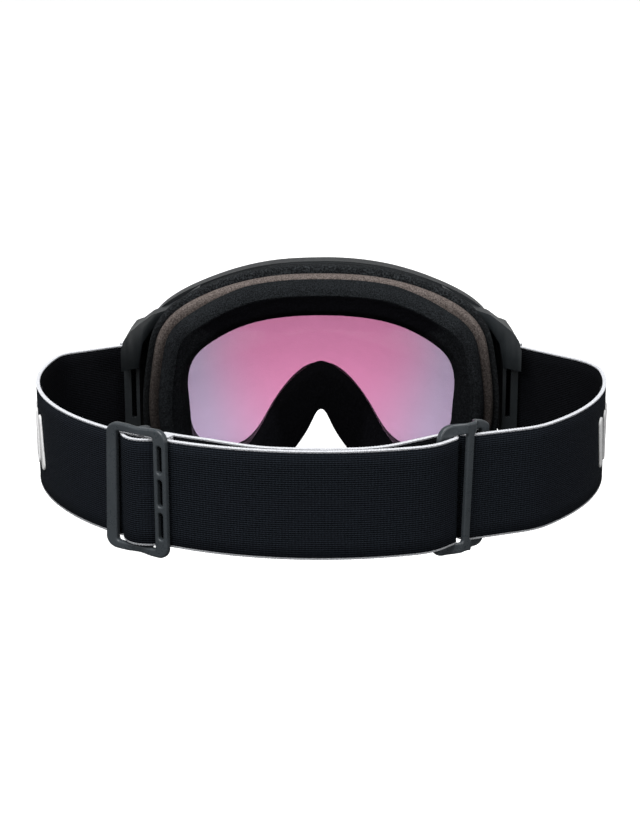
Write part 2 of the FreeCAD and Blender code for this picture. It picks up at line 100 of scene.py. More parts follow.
SHORT_ARC_END = 46.5
SHORT_BEND = 30.0
SEWN_PULL = 4.9
SEWN_WRAP = 3.5
SEWN_TURN = -184.0
SEWN_TAIL = 8.5

# ---- helpers: curves ----------------------------------------------------------------------------
def closed_spline(half, nose_top, marks, samples):
    """Points of a smooth closed curve through a symmetric outline, evenly spread between marks."""
    right = np.array(half + [(0, nose_top)], float)
    left = right[-2:0:-1] * (-1, 1)
    knots = np.vstack([right, left])
    count = len(knots)
    chord = np.linalg.norm(np.roll(knots, -1, 0) - knots, axis=1)
    before = np.roll(chord, 1)
    system = np.zeros((count, count))
    rows = np.arange(count)
    system[rows, rows] = 2 * (chord + before)
    system[rows, (rows + 1) % count] += chord
    system[rows, (rows - 1) % count] += before
    slope = (np.roll(knots, -1, 0) - knots) / chord[:, None]
    bend = np.linalg.solve(system, 6 * (slope - np.roll(slope, 1, 0)))

    def value(u):
        i = np.floor(u).astype(int) % count
        j = (i + 1) % count
        t = (u - np.floor(u)) * chord[i]
        h = chord[i]
        rest = h - t
        part = (bend[i] * (rest ** 3)[:, None] + bend[j] * (t ** 3)[:, None]) / (6 * h)[:, None]
        part += (knots[i] / h[:, None] - bend[i] * h[:, None] / 6) * rest[:, None]
        return part + (knots[j] / h[:, None] - bend[j] * h[:, None] / 6) * t[:, None]

    legs = list(marks) + [count - m for m in marks[-2::-1]]
    share = samples // (len(legs) - 1)
    out = []
    for start, end in zip(legs, legs[1:]):
        fine = np.linspace(start, end, 400)
        spots = value(fine % count)
        run = np.concatenate([[0], np.cumsum(np.linalg.norm(np.diff(spots, axis=0), axis=1))])
        u = np.interp(np.linspace(0, run[-1], share, endpoint=False), run, fine)
        out.append(value(u % count))
    return np.vstack(out)


def inward(points):
    """Unit normals of a closed clockwise outline, pointing to its inside."""
    along = np.roll(points, -1, 0) - np.roll(points, 1, 0)
    along /= np.linalg.norm(along, axis=1)[:, None]
    return np.column_stack([along[:, 1], -along[:, 0]])


def wrap_back(x):
    """How far behind the centre line a layer lies at x, in mm."""
    return WRAP_RADIUS - np.sqrt(WRAP_RADIUS ** 2 - x ** 2)


class Route:
    """A plan route of straight runs and tangent arcs, sampled as it is made. Degrees, mm."""

    STEP = 0.5

    def __init__(self, x, y, heading):
        self.x = x
        self.y = y
        self.heading = heading
        self.points = [(x, y)]
        self.headings = [heading]

    def add(self):
        self.points.append((self.x, self.y))
        self.headings.append(self.heading)

    def line(self, length):
        count = max(2, round(length / self.STEP))
        for _ in range(count):
            h = math.radians(self.heading)
            self.x += math.cos(h) * length / count
            self.y += math.sin(h) * length / count
            self.add()
        return self

    def turn(self, radius, angle):
        count = max(3, round(abs(math.radians(angle)) * radius / self.STEP))
        for _ in range(count):
            half = math.radians(self.heading + angle / count / 2)
            chord = 2 * radius * math.sin(abs(math.radians(angle)) / count / 2)
            self.x += math.cos(half) * chord
            self.y += math.sin(half) * chord
            self.heading += angle / count
            self.add()
        return self


def arc_point(angle, radius=ARC_RADIUS):
    a = math.radians(angle)
    return radius * math.sin(a), ARC_CENTRE_Y - radius * math.cos(a)


def tangent_run(first, second):
    """Heading and length of the straight run between two arcs, each (centre, radius, side)."""
    across = (second[0][0] - first[0][0], second[0][1] - first[0][1])
    reach = math.hypot(across[0], across[1])
    offset = second[2] * second[1] - first[2] * first[1]
    heading = math.atan2(across[1], across[0]) - math.asin(offset / reach)
    return math.degrees(heading), math.sqrt(reach ** 2 - offset ** 2)


def anchor_route(side, bend_radius, bend_angle):
    """The webbing from its sewn tail, round the pin and on to the rear arc, as part.py has it."""
    joint = arc_point(bend_angle)
    share = bend_radius / ARC_RADIUS
    bend = (joint[0] * (1 - share), joint[1] + (ARC_CENTRE_Y - joint[1]) * share)
    pin = (side * PIN[0], PIN[1])
    heading, run = tangent_run((pin, PIN_WRAP, side), (bend, bend_radius, -side))
    start = heading - side * 180
    h = math.radians(start)
    route = Route(pin[0] + side * PIN_WRAP * math.sin(h) - ANCHOR_TAIL * math.cos(h),
                  pin[1] - side * PIN_WRAP * math.cos(h) - ANCHOR_TAIL * math.sin(h), start)
    route.line(ANCHOR_TAIL).turn(PIN_WRAP, side * 180).line(run)
    arrival = bend_angle if side < 0 else bend_angle + 180
    return route.turn(bend_radius, (arrival - route.heading + 180) % 360 - 180)


def long_route():
    """Left anchor, round the back, folded at the right slider and back behind the left one."""
    route = anchor_route(-1, LEFT_BEND[0], LEFT_BEND[1])
    route.turn(ARC_RADIUS, LONG_ARC_END - LEFT_BEND[1])
    route.turn(LEAD_IN[0], LEAD_IN[1]).line(LEAD_IN[2])
    h = math.radians(route.heading)
    fold = (route.x - FOLD_RADIUS * math.sin(h), route.y + FOLD_RADIUS * math.cos(h))
    route.line(FOLD_PULL).turn(FOLD_RADIUS, FOLD_TURN).line(FAR_RUN + FOLD_PULL)
    for bend_radius, angle in FAR_TURNS:
        route.turn(bend_radius, angle)
    radius = math.hypot(route.x, route.y - ARC_CENTRE_Y)
    first = math.degrees(math.atan2(route.x, ARC_CENTRE_Y - route.y))
    for angle in np.arange(first - FAR_STEP, FAR_END, -FAR_STEP):
        share = min(1.0, (first - angle) / (first - FAR_SETTLED))
        share = share * share * (3 - 2 * share)
        x, y = arc_point(angle, radius + (FAR_RADIUS - radius) * share)
        route.heading = math.degrees(math.atan2(y - route.y, x - route.x))
        route.x, route.y = x, y
        route.add()
    return route, fold


def short_route(bar):
    """Right anchor, round to the right slider and sewn round its bar."""
    route = anchor_route(1, RIGHT_BEND[0], RIGHT_BEND[1])
    route.turn(ARC_RADIUS, SHORT_ARC_END - RIGHT_BEND[1])
    h = math.radians(route.heading)
    centre = (route.x + SHORT_BEND * math.sin(h), route.y - SHORT_BEND * math.cos(h))
    heading, run = tangent_run((centre, SHORT_BEND, -1), (bar, SEWN_WRAP, -1))
    route.turn(SHORT_BEND, (heading - route.heading + 180) % 360 - 180).line(run)
    return route.turn(SEWN_WRAP, SEWN_TURN).line(SEWN_TAIL)


def along(origin, tilt, distance):
    t = math.radians(tilt)
    return origin[0] + distance * math.cos(t), origin[1] + distance * math.sin(t)


# ---- helpers: places ----------------------------------------------------------------------------
def droop_matrix():
    pivot = Vector((0, PIN[1] * MM, STRAP_Z * MM))
    turn = Matrix.Rotation(STRAP_DROOP, 4, "X")
    return Matrix.Translation(pivot) @ turn @ Matrix.Translation(-pivot)


def slider_matrix(origin, tilt, flipped):
    """From a slider's own frame (x along, y outwards, z up) in metres to the goggles."""
    flip = Matrix.Diagonal((-1, 1, 1, 1)) if flipped else Matrix.Diagonal((1, -1, 1, 1))
    turn = Matrix.Rotation(math.radians(tilt), 4, "Z")
    place = Matrix.Translation((origin[0] * MM, origin[1] * MM, STRAP_Z * MM))
    return droop_matrix() @ place @ turn @ flip


long_path, fold_centre = long_route()
right_pivot = along(fold_centre, RIGHT_SLIDER_TILT, FOLD_TO_SLIDER)
sewn_bar = along(right_pivot, RIGHT_SLIDER_TILT, SLIDER_TO_SEWN - SEWN_PULL)
short_path = short_route(sewn_bar)
left_place = slider_matrix(arc_point(LEFT_SLIDER_ANGLE), LEFT_SLIDER_ANGLE, False)
right_place = slider_matrix(along(right_pivot, RIGHT_SLIDER_TILT - 90, BAR_DEPTH),
                            RIGHT_SLIDER_TILT, True)


# ---- helpers: meshes ----------------------------------------------------------------------------
def new_object(name, mesh, body, slot_name, *materials):
    piece = bpy.data.objects.new(name, mesh)
    bpy.context.scene.collection.objects.link(piece)
    for material in materials:
        mesh.materials.append(material)
    if body:
        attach(piece, body)
    return piece


def grid_mesh(name, rows, closed_rows, closed_across, uv=None):
    """A mesh over rows[i][j] of points. uv, where given, is an array of (u, v) for each point."""
    points = np.asarray(rows, float)
    count, across = points.shape[:2]
    mesh = bpy.data.meshes.new(name)
    faces = []
    corners = []
    last_row = count if closed_rows else count - 1
    last = across if closed_across else across - 1
    for i in range(last_row):
        for j in range(last):
            spots = [(i, j), (i + 1, j), (i + 1, j + 1), (i, j + 1)]
            faces.append([(a % count) * across + b % across for a, b in spots])
            corners.extend(spots)
    if closed_across and not closed_rows:
        faces.append(list(range(across)))
        faces.append(list(range((count - 1) * across, count * across))[::-1])
    mesh.from_pydata(points.reshape(-1, 3).tolist(), [], faces)
    if uv is not None:
        layer = mesh.uv_layers.new(name="cloth")
        flat = np.asarray(uv, float).reshape(-1, 2)
        index = np.zeros(len(mesh.loops), int)
        mesh.loops.foreach_get("vertex_index", index)
        layer.data.foreach_set("uv", flat[index].ravel())
    mesh.polygons.foreach_set("use_smooth", [True] * len(mesh.polygons))
    mesh.validate()
    fix = bmesh.new()
    fix.from_mesh(mesh)
    bmesh.ops.recalc_face_normals(fix, faces=fix.faces)
    fix.to_mesh(mesh)
    fix.free()
    return mesh


def point_value(mesh, name, values):
    """A per-point number that a material can read."""
    attribute = mesh.attributes.new(name, "FLOAT", "POINT")
    attribute.data.foreach_set("value", np.asarray(values, np.float32).ravel())


# ---- helpers: materials -------------------------------------------------------------------------
class Nodes:
    """A material's node tree, with short calls for the nodes used here."""

    def __init__(self, name):
        self.material = bpy.data.materials.new(name)
        self.material.use_nodes = True
        self.tree = self.material.node_tree
        self.tree.nodes.clear()
        self.out = self.add("ShaderNodeOutputMaterial")
        self.shader = self.add("ShaderNodeBsdfPrincipled")
        self.link(self.shader.outputs[0], self.out.inputs["Surface"])

    def add(self, kind, **inputs):
        node = self.tree.nodes.new(kind)
        for key, value in inputs.items():
            self.put(node, key.replace("_", " "), value)
        return node

    def put(self, node, key, value):
        socket = node.inputs[key]
        if isinstance(value, bpy.types.NodeSocket):
            self.link(value, socket)
        else:
            socket.default_value = value

    def link(self, source, target):
        self.tree.links.new(source, target)

    def math(self, operation, a, b=0.0):
        node = self.add("ShaderNodeMath")
        node.operation = operation
        self.put_at(node, 0, a)
        self.put_at(node, 1, b)
        return node.outputs[0]

    def put_at(self, node, index, value):
        if isinstance(value, bpy.types.NodeSocket):
            self.link(value, node.inputs[index])
        else:
            node.inputs[index].default_value = value

    def place(self, kind="Object"):
        return self.add("ShaderNodeTexCoord").outputs[kind]

    def height_in_dm(self):
        """The height above the object's origin, in tenths of a metre, which spans a ramp."""
        split = self.add("ShaderNodeSeparateXYZ", Vector=self.place())
        return self.math("MULTIPLY", split.outputs[2], 10.0)

    def noise(self, scale, detail=4.0, rough=0.5):
        node = self.add("ShaderNodeTexNoise", Scale=scale, Detail=detail, Roughness=rough)
        self.link(self.place(), node.inputs["Vector"])
        return node.outputs[0]

    def cells(self, scale):
        node = self.add("ShaderNodeTexVoronoi", Scale=scale)
        self.link(self.place(), node.inputs["Vector"])
        return node.outputs["Distance"]

    def ramp(self, value, stops, smooth=False):
        node = self.add("ShaderNodeValToRGB")
        self.link(value, node.inputs[0])
        if smooth:
            node.color_ramp.interpolation = "EASE"
        elements = node.color_ramp.elements
        while len(elements) < len(stops):
            elements.new(0.5)
        for element, (position, color) in zip(elements, stops):
            element.position = position
            element.color = shade(color)
        return node.outputs[0]

    def mix(self, factor, a, b):
        node = self.add("ShaderNodeMix")
        node.data_type = "RGBA"
        for index, value in ((0, factor), (6, a), (7, b)):
            if isinstance(value, (int, float)) and index:
                value = shade(value)
            elif isinstance(value, tuple):
                value = shade(value)
            self.put_at(node, index, value)
        return node.outputs[2]

    def bump(self, height, distance):
        node = self.add("ShaderNodeBump", Strength=1.0, Distance=distance, Height=height)
        return node.outputs[0]

    def attribute(self, name):
        node = self.add("ShaderNodeAttribute")
        node.attribute_name = name
        return node.outputs["Fac"]

    def finish(self, **values):
        for key, value in values.items():
            if isinstance(value, tuple) and len(value) == 3:
                value = shade(value)
            self.put(self.shader, key.replace("_", " "), value)
        return self.material


def shade(color):
    if isinstance(color, (int, float)):
        return (color, color, color, 1.0)
    return tuple(color) if len(color) == 4 else (*color, 1.0)


def moulded_plastic(name, base, lighter, roughness, grain=0.00004):
    """Moulded plastic: fine spark texture, faint handling marks and slightly uneven gloss."""
    n = Nodes(name)
    broad = n.noise(45.0, 3.0)
    color = n.mix(n.ramp(broad, [(0.3, 0.0), (0.75, 1.0)]), base, lighter)
    marks = n.noise(380.0, 6.0, 0.7)
    rough = n.ramp(marks, [(0.35, roughness - 0.06), (0.7, roughness + 0.08)])
    grained = n.bump(n.noise(2600.0, 2.0, 0.6), grain)
    return n.finish(Base_Color=color, Roughness=rough, Normal=grained, Specular_IOR_Level=0.45)


def speckled_foam(name, dark, light, amount, pore_scale=1300.0, depth=0.00025):
    """Open-cell foam: dark pores with pale struts that catch the light, with painted top light that
    leaves it paler towards the top and darker low down.
    """
    n = Nodes(name)
    pores = n.cells(pore_scale)
    fine = n.noise(pore_scale * 1.7, 3.0, 0.7)
    struts = n.math("MULTIPLY", pores, fine)
    color = n.ramp(struts, [(0.16, dark), (0.16 + amount, light)])
    # painted top light: the pale speckle is full only above about 9 cm and falls to a quarter below
    # 7 cm
    color = n.mix(n.ramp(n.height_in_dm(), [(0.7, 0.25), (0.92, 1.0)]), dark, color)
    height = n.math("ADD", pores, n.math("MULTIPLY", n.noise(420.0, 4.0), 0.8))
    return n.finish(Base_Color=color, Roughness=0.95, Normal=n.bump(height, depth),
                    Specular_IOR_Level=0.08)


def fleece(name):
    """Short fleece on foam. The attribute band is 0 on the outer, brushed part, 1 inside and 2 at
    the nose; the inside is darker, partly as painted shade on its inward slope, and the nose is
    darker again as painted shade under the nose arch.
    """
    n = Nodes(name)
    band = n.attribute("band")
    fuzz = n.noise(2100.0, 5.0, 0.75)
    tufts = n.noise(520.0, 4.0, 0.65)
    edge = n.math("ADD", band, n.math("MULTIPLY", n.math("SUBTRACT", tufts, 0.5), 0.35))
    bright = n.ramp(fuzz, [(0.42, (0.004, 0.0045, 0.005)), (0.66, (0.03, 0.034, 0.038))])
    # the inner colour: a less brushed fleece, darker partly as painted shade on the inward slope
    dull_and_shaded = n.ramp(fuzz, [(0.45, (0.0022, 0.0022, 0.003)), (0.8, (0.008, 0.008, 0.0105))])
    color = n.mix(n.ramp(edge, [(0.35, 0.0), (0.65, 1.0)]), bright, dull_and_shaded)
    # painted shade under the nose arch: where band is 2 the fleece is pulled halfway to black
    painted_nose_shade = n.ramp(n.math("MULTIPLY", band, 0.5), [(0.55, 0.0), (1.0, 0.5)])
    color = n.mix(painted_nose_shade, color, 0.0)
    height = n.math("ADD", fuzz, n.math("MULTIPLY", tufts, 1.2))
    return n.finish(Base_Color=color, Roughness=1.0, Normal=n.bump(height, 0.0004),
                    Specular_IOR_Level=0.04)


def smooth_foam(name):
    """Closed-cell foam in taupe with fine dark and pale cells, darkened low down and on the sides by
    painted shade.
    """
    n = Nodes(name)
    cells = n.noise(1500.0, 3.0, 0.7)
    color = n.ramp(cells, [(0.36, (0.05, 0.04, 0.036)), (0.5, (0.115, 0.095, 0.087)),
                           (0.68, (0.21, 0.18, 0.168))])
    # painted shade: the taupe darkens with falling height, to about a fifth of its colour low on the
    # sides
    painted_side_shade = n.ramp(n.height_in_dm(), [(0.42, 0.22), (0.62, 0.33), (0.78, 0.68), (0.92, 1.0)])
    color = n.mix(painted_side_shade, (0.0, 0.0, 0.0), color)
    height = n.math("ADD", cells, n.cells(900.0))
    return n.finish(Base_Color=color, Roughness=0.92, Normal=n.bump(height, 0.00018),
                    Specular_IOR_Level=0.1)


def webbing(name):
    """Woven elastic. Its cloth map runs along the strap in u and from edge to edge in v, metres.

    The attribute "edge" is 1 on the pale selvedge, "inner" is 1 on the brushed face to the head.
    """
    n = Nodes(name)
    split = n.add("ShaderNodeSeparateXYZ", Vector=n.place("UV"))
    u, v = split.outputs[0], split.outputs[1]
    inner = n.attribute("inner")
    edge = n.attribute("edge")

    def wave(value, pitch):
        return n.math("SINE", n.math("MULTIPLY", value, math.tau / pitch))

    ribs = wave(v, 0.00078)
    picks = wave(n.math("ADD", u, n.math("MULTIPLY", n.noise(300.0, 2.0), 0.0006)), 0.00115)
    weave = n.math("ADD", ribs, n.math("MULTIPLY", picks, 0.45))
    yarn = n.noise(1700.0, 4.0, 0.7)
    shadow = n.math("ADD", n.math("MULTIPLY", weave, 0.22), yarn)
    face = n.ramp(shadow, [(0.2, (0.0028, 0.0036, 0.0052)), (0.5, (0.0066, 0.0086, 0.0122)),
                           (0.85, (0.014, 0.018, 0.025))])
    brushed = n.ramp(yarn, [(0.4, (0.0014, 0.0016, 0.0024)), (0.75, (0.006, 0.0068, 0.0095))])
    cloth = n.mix(inner, face, brushed)
    pale = n.ramp(n.noise(2400.0, 3.0, 0.6),
                  [(0.3, (0.42, 0.43, 0.46)), (0.6, (0.70, 0.71, 0.74))])
    color = n.mix(n.ramp(edge, [(0.45, 0.0), (0.55, 1.0)]), cloth, pale)
    height = n.math("ADD", n.math("MULTIPLY", weave, 0.5), yarn)
    return n.finish(Base_Color=color, Roughness=0.86, Normal=n.bump(height, 0.00022),
                    Specular_IOR_Level=0.08)


def tinted_lens(name, centre, rim, strength):
    """Tinted sheet: rose in the middle, cooler towards the left, right and lower edges."""
    n = Nodes(name)
    split = n.add("ShaderNodeSeparateXYZ", Vector=n.place())
    x, z = split.outputs[0], split.outputs[2]
    side = n.math("POWER", n.math("MULTIPLY", n.math("ABSOLUTE", x), 1 / 0.062), 2.6)
    low = n.math("MULTIPLY", n.math("SUBTRACT", 0.056, z), 1 / 0.05)
    low = n.math("MAXIMUM", low, 0.0)
    spread = n.math("ADD", side, n.math("MULTIPLY", low, strength))
    spread = n.math("ADD", spread, n.math("MULTIPLY", n.noise(14.0, 2.0), 0.12))
    color = n.mix(n.ramp(spread, [(0.1, 0.0), (1.0, 1.0)], smooth=True), centre, rim)
    level = n.math("ADD", n.math("MULTIPLY", z, 4.4), n.math("MULTIPLY", side, 0.13))
    color = n.mix(n.ramp(n.math("MULTIPLY", level, 2.0), [(0.1, 0.0), (0.95, 0.39)]), color, 0.0)
    haze = n.ramp(n.noise(70.0, 3.0), [(0.4, 0.02), (0.7, 0.05)])
    return n.finish(Base_Color=color, Roughness=haze, Transmission_Weight=1.0, IOR=1.08,
                    Specular_IOR_Level=0.5, Coat_Weight=0.25, Coat_Roughness=0.03)


def plated_steel(name, roughness):
    n = Nodes(name)
    streaks = n.noise(900.0, 3.0, 0.6)
    color = n.ramp(streaks, [(0.3, (0.45, 0.45, 0.46)), (0.7, (0.62, 0.62, 0.63))])
    return n.finish(Base_Color=color, Metallic=1.0, Roughness=roughness,
                    Normal=n.bump(streaks, 0.00003))


def raised_print(name):
    n = Nodes(name)
    grain = n.noise(900.0, 4.0, 0.6)
    color = n.ramp(grain, [(0.3, (0.72, 0.72, 0.72)), (0.6, (0.88, 0.88, 0.88))])
    return n.finish(Base_Color=color, Roughness=0.55, Normal=n.bump(grain, 0.0001),
                    Specular_IOR_Level=0.4)


def silicone(name):
    n = Nodes(name)
    grain = n.noise(700.0, 2.0)
    color = n.ramp(grain, [(0.3, (0.012, 0.012, 0.014)), (0.8, (0.03, 0.03, 0.034))])
    return n.finish(Base_Color=color, Roughness=0.32, Normal=n.bump(grain, 0.00005))


FRAME_PLASTIC = moulded_plastic("frame_plastic", (0.0125, 0.0145, 0.0162),
                                (0.02, 0.023, 0.0255), 0.5)
ARM_PLASTIC = moulded_plastic("arm_plastic", (0.0095, 0.012, 0.0138),
                              (0.015, 0.0185, 0.021), 0.46)
SLIDER_PLASTIC = moulded_plastic("slider_plastic", (0.04, 0.047, 0.053), (0.055, 0.063, 0.07),
                                 0.3, grain=0.000015)
CARRIER_PLASTIC = moulded_plastic("carrier_plastic", (0.003, 0.003, 0.0036),
                                  (0.005, 0.005, 0.006), 0.6)
BASE_FOAM = speckled_foam("base_foam", (0.004, 0.0045, 0.005), (0.038, 0.042, 0.046), 0.36)
VENT_FOAM = speckled_foam("vent_foam", (0.003, 0.0035, 0.004), (0.042, 0.047, 0.051), 0.36,
                          1100.0)
TAUPE_FOAM = smooth_foam("taupe_foam")
FACE_FLEECE = fleece("face_fleece")
WEBBING = webbing("webbing")
OUTER_LENS = tinted_lens("rose_lens", (0.60, 0.222, 0.39), (0.455, 0.355, 0.50), 0.35)
INNER_LENS = tinted_lens("clear_lens", (0.97, 0.92, 0.95), (0.94, 0.93, 0.96), 0.4)
MAGNET = plated_steel("magnet_steel", 0.25)
PIN_STEEL = plated_steel("pin_steel", 0.38)
PRINT = raised_print("white_print")
BEADS = silicone("silicone_bead")
GASKET = speckled_foam("gasket_foam", (0.004, 0.004, 0.004), (0.02, 0.02, 0.021), 0.4,
                       1800.0, 0.0001)


# ---- rigid CAD nodes keep their shape and get their finish and softened edges -------------------
def dress(node, material, bevel=0.0):
    piece = nodes[node]
    piece.data.materials.clear()
    piece.data.materials.append(material)
    if bevel:
        weld = piece.modifiers.new("weld", "WELD")
        weld.merge_threshold = 1e-6
        plan = piece.modifiers.new("flat", "DECIMATE")
        plan.decimate_type = "DISSOLVE"
        plan.angle_limit = math.radians(1.0)
        edge = piece.modifiers.new("edge", "BEVEL")
        edge.width = bevel
        edge.segments = 2
        edge.limit_method = "ANGLE"
        edge.angle_limit = math.radians(32)
        edge.harden_normals = True


dress("frame_shell", FRAME_PLASTIC)
dress("face_flange", FRAME_PLASTIC)
for wing in ("left", "right"):
    dress("outrigger_" + wing, ARM_PLASTIC, 0.001)
    dress("strap_pin_" + wing, PIN_STEEL)
    dress("lens_grip_" + wing, FRAME_PLASTIC)
dress("lens_carrier", CARRIER_PLASTIC)
dress("lens_gasket", GASKET)
dress("frame_magnets", MAGNET)
dress("lens_magnets", MAGNET)
dress("outer_lens", OUTER_LENS)
dress("inner_lens", INNER_LENS)


# ---- foam round the eyes ------------------------------------------------------------------------
RING_SAMPLES = 720
NOSE_HALF_WIDTH = 24.0
NOSE_TOP = 50.0
NOSE_FADE = 8.0
NOSE_KEEP = 0.12
RING_LOWEST = 0.2
SIDE_FADE = (34.0, 58.0)
FACE_SIDE_INSET = 2.1
TAUPE_SIDE_INSET = -0.4
foam_edge = closed_spline(FOAM_POINTS, FOAM_NOSE_TOP, FOAM_MARKS, RING_SAMPLES)
window_edge = closed_spline(WINDOW_POINTS, WINDOW_NOSE_TOP, WINDOW_MARKS, RING_SAMPLES)
foam_in = inward(foam_edge)
window_in = inward(window_edge)
near_nose = np.clip((NOSE_HALF_WIDTH - np.abs(foam_edge[:, 0])) / NOSE_FADE, 0, 1)
near_nose *= foam_edge[:, 1] < NOSE_TOP
inset_share = 1 - (1 - NOSE_KEEP) * near_nose
side_inset = np.clip((np.abs(foam_edge[:, 0]) - SIDE_FADE[0]) / (SIDE_FADE[1] - SIDE_FADE[0]), 0, 1)


def ring_piece(name, section, node, slot_name, material, roughen, seed, at_sides=0.0):
    """A closed ring swept round the eye opening.

    section is a list of (side, offset, depth): side 0 measures the offset inwards from the foam
    outline, side 1 outwards from the window, and depth is rearwards from the base, all in mm.
    at_sides adds to the side 0 offsets beside the eyes.
    """
    rng = np.random.default_rng(seed)
    rows = np.zeros((len(foam_edge), len(section), 3))
    for j, (side, offset, depth) in enumerate(section):
        outer = foam_edge + foam_in * (offset * inset_share + at_sides * side_inset)[:, None]
        inner = window_edge - window_in * offset
        flat = outer * (1 - side) + inner * side
        rows[:, j, 0] = flat[:, 0]
        rows[:, j, 1] = BASE_FRONT - depth - wrap_back(flat[:, 0])
        rows[:, j, 2] = np.maximum(flat[:, 1], RING_LOWEST)
    noise = rng.normal(0, 1, rows.shape[:2])
    shared = noise + np.roll(noise, 1, 0) + np.roll(noise, 1, 1)
    rows[:, :, 1] -= roughen * shared / 3
    mesh = grid_mesh(name, rows * MM, True, True)
    piece = new_object(name, mesh, "frame", slot_name, material)
    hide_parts(node)
    return mesh


def between(start, end, count):
    """count points from start up to, but not including, end."""
    return [tuple(a + (b - a) * k / count for a, b in zip(start, end)) for k in range(count)]


def path_through(corners, pitch=0.9):
    """The closed section through corners, with points about pitch apart; side changes count too."""
    section = []
    for a, b in zip(corners, corners[1:] + corners[:1]):
        reach = math.hypot(b[1] - a[1], b[2] - a[2]) if a[0] == b[0] else 9.0
        section += between(a, b, max(1, round(reach / pitch)))
    return section


def rounded(section, rounds):
    """The closed section with its corners eased by averaging neighbours."""
    section = np.array(section, float)
    for _ in range(rounds):
        section = (np.roll(section, 1, 0) + 2 * section + np.roll(section, -1, 0)) / 4
    return [tuple(row) for row in section]


base_section = rounded(path_through(
    [(0, -2.6, 0.2), (0, -2.2, 6.9), (1, 3.2, 6.9), (1, 4.2, 0.2)]), 1)
ring_piece("base_foam_ring", base_section, "foam_base_layer", "base_foam", BASE_FOAM, 0.1, 1)
taupe_section = rounded(path_through(
    [(0, 0.7, 7.1), (0, 0.8, 9.0), (0, 1.9, 11.9), (1, 1.8, 11.9), (1, 2.6, 7.1)]), 1)
ring_piece("taupe_foam_ring", taupe_section, "foam_mid_layer", "taupe_foam", TAUPE_FOAM, 0.06, 2,
           TAUPE_SIDE_INSET)

FACE_CORNERS = [
    (0, 2.1, 12.1), (0, 2.7, 14.0), (0, 4.0, 16.4), (0, 6.1, 18.6), (0, 9.0, 19.7),
    (0.5, 6.6, 19.3), (1, 3.2, 17.6), (1, 1.2, 14.6), (1, 0.0, 12.1),
]
face_section = rounded(path_through(FACE_CORNERS, 0.8), 2)
face_mesh = ring_piece("face_foam_ring", face_section, "foam_face_layer", "face_fleece",
                       FACE_FLEECE, 0.16, 3, FACE_SIDE_INSET)
sides = np.array([row[0] for row in face_section])
# inside is 1 on the inward slope, which the fleece colours darker partly as painted shade; at the
# sides the outer and inner parts are brought closer in tone
inside = np.clip((sides - 0.12) / 0.5, 0, 1)[None, :]
at_side = np.clip((np.abs(foam_edge[:, 0]) - 50.0) / 15.0, 0, 1)[:, None]
band = inside * (1 - 0.48 * at_side) + 0.44 * at_side * (1 - inside)
# band 2 near the nose marks where the fleece paints shade under the nose arch
point_value(face_mesh, "band", np.maximum(band, 2 * near_nose[:, None]))


# ---- vent foam in the frame's slots -------------------------------------------------------------
def vent_piece(node, seed):
    """The filter foam in a vent, with its open face roughened."""
    name = node.replace("vent_foam", "vent_pad")
    mesh = nodes[node].data.copy()
    work = bmesh.new()
    work.from_mesh(mesh)
    bmesh.ops.remove_doubles(work, verts=work.verts, dist=1e-6)
    bmesh.ops.dissolve_limit(work, angle_limit=math.radians(2), verts=work.verts, edges=work.edges)
    bmesh.ops.triangulate(work, faces=work.faces)
    for _ in range(3):
        long_edges = [e for e in work.edges if e.calc_length() > 0.0012]
        if not long_edges:
            break
        bmesh.ops.subdivide_edges(work, edges=long_edges, cuts=1)
        bmesh.ops.triangulate(work, faces=work.faces)
    rng = np.random.default_rng(seed)
    for vert in work.verts:
        vert.co -= vert.normal * abs(rng.normal(0, 0.00012))
    work.to_mesh(mesh)
    work.free()
    mesh.materials.clear()
    piece = new_object(name, mesh, "frame", "vent_foam", VENT_FOAM)
    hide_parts(node)


for number, node in enumerate(("top_vent_foam", "bottom_vent_foam_left", "bottom_vent_foam_right")):
    vent_piece(node, 20 + number)


# ---- webbing ------------------------------------------------------------------------------------
HALF_THICK = 0.7
BAND_ACROSS = 9
STITCH_PITCH = 1.15
STITCH_BUMP = 0.05


def band_section(half_height, half_thick, across):
    """(outward, height, edge, inner) round the webbing: ribbed faces and a beaded pale selvedge."""
    flat = half_height - SELVEDGE
    bead = half_thick + 0.06
    rise = [(half_thick - 0.1, flat + 0.08), (bead, flat + 0.3), (bead, flat + 0.5),
            (half_thick - 0.1, half_height - 0.08), (half_thick * 0.4, half_height)]
    outer = [(half_thick, z) for z in np.linspace(-flat, flat, across)]
    top = [(o, z) for o, z in rise] + [(-o, z) for o, z in rise[::-1]]
    inner = [(-half_thick, z) for z in np.linspace(flat, -flat, across)]
    low = [(-o, -z) for o, z in top]
    rows = []
    for group, edge in ((outer, 0), (top, 1), (inner, 0), (low, 1)):
        for o, z in group:
            rows.append((o, z, edge, 1 if o < 0 and edge == 0 else 0))
    return rows


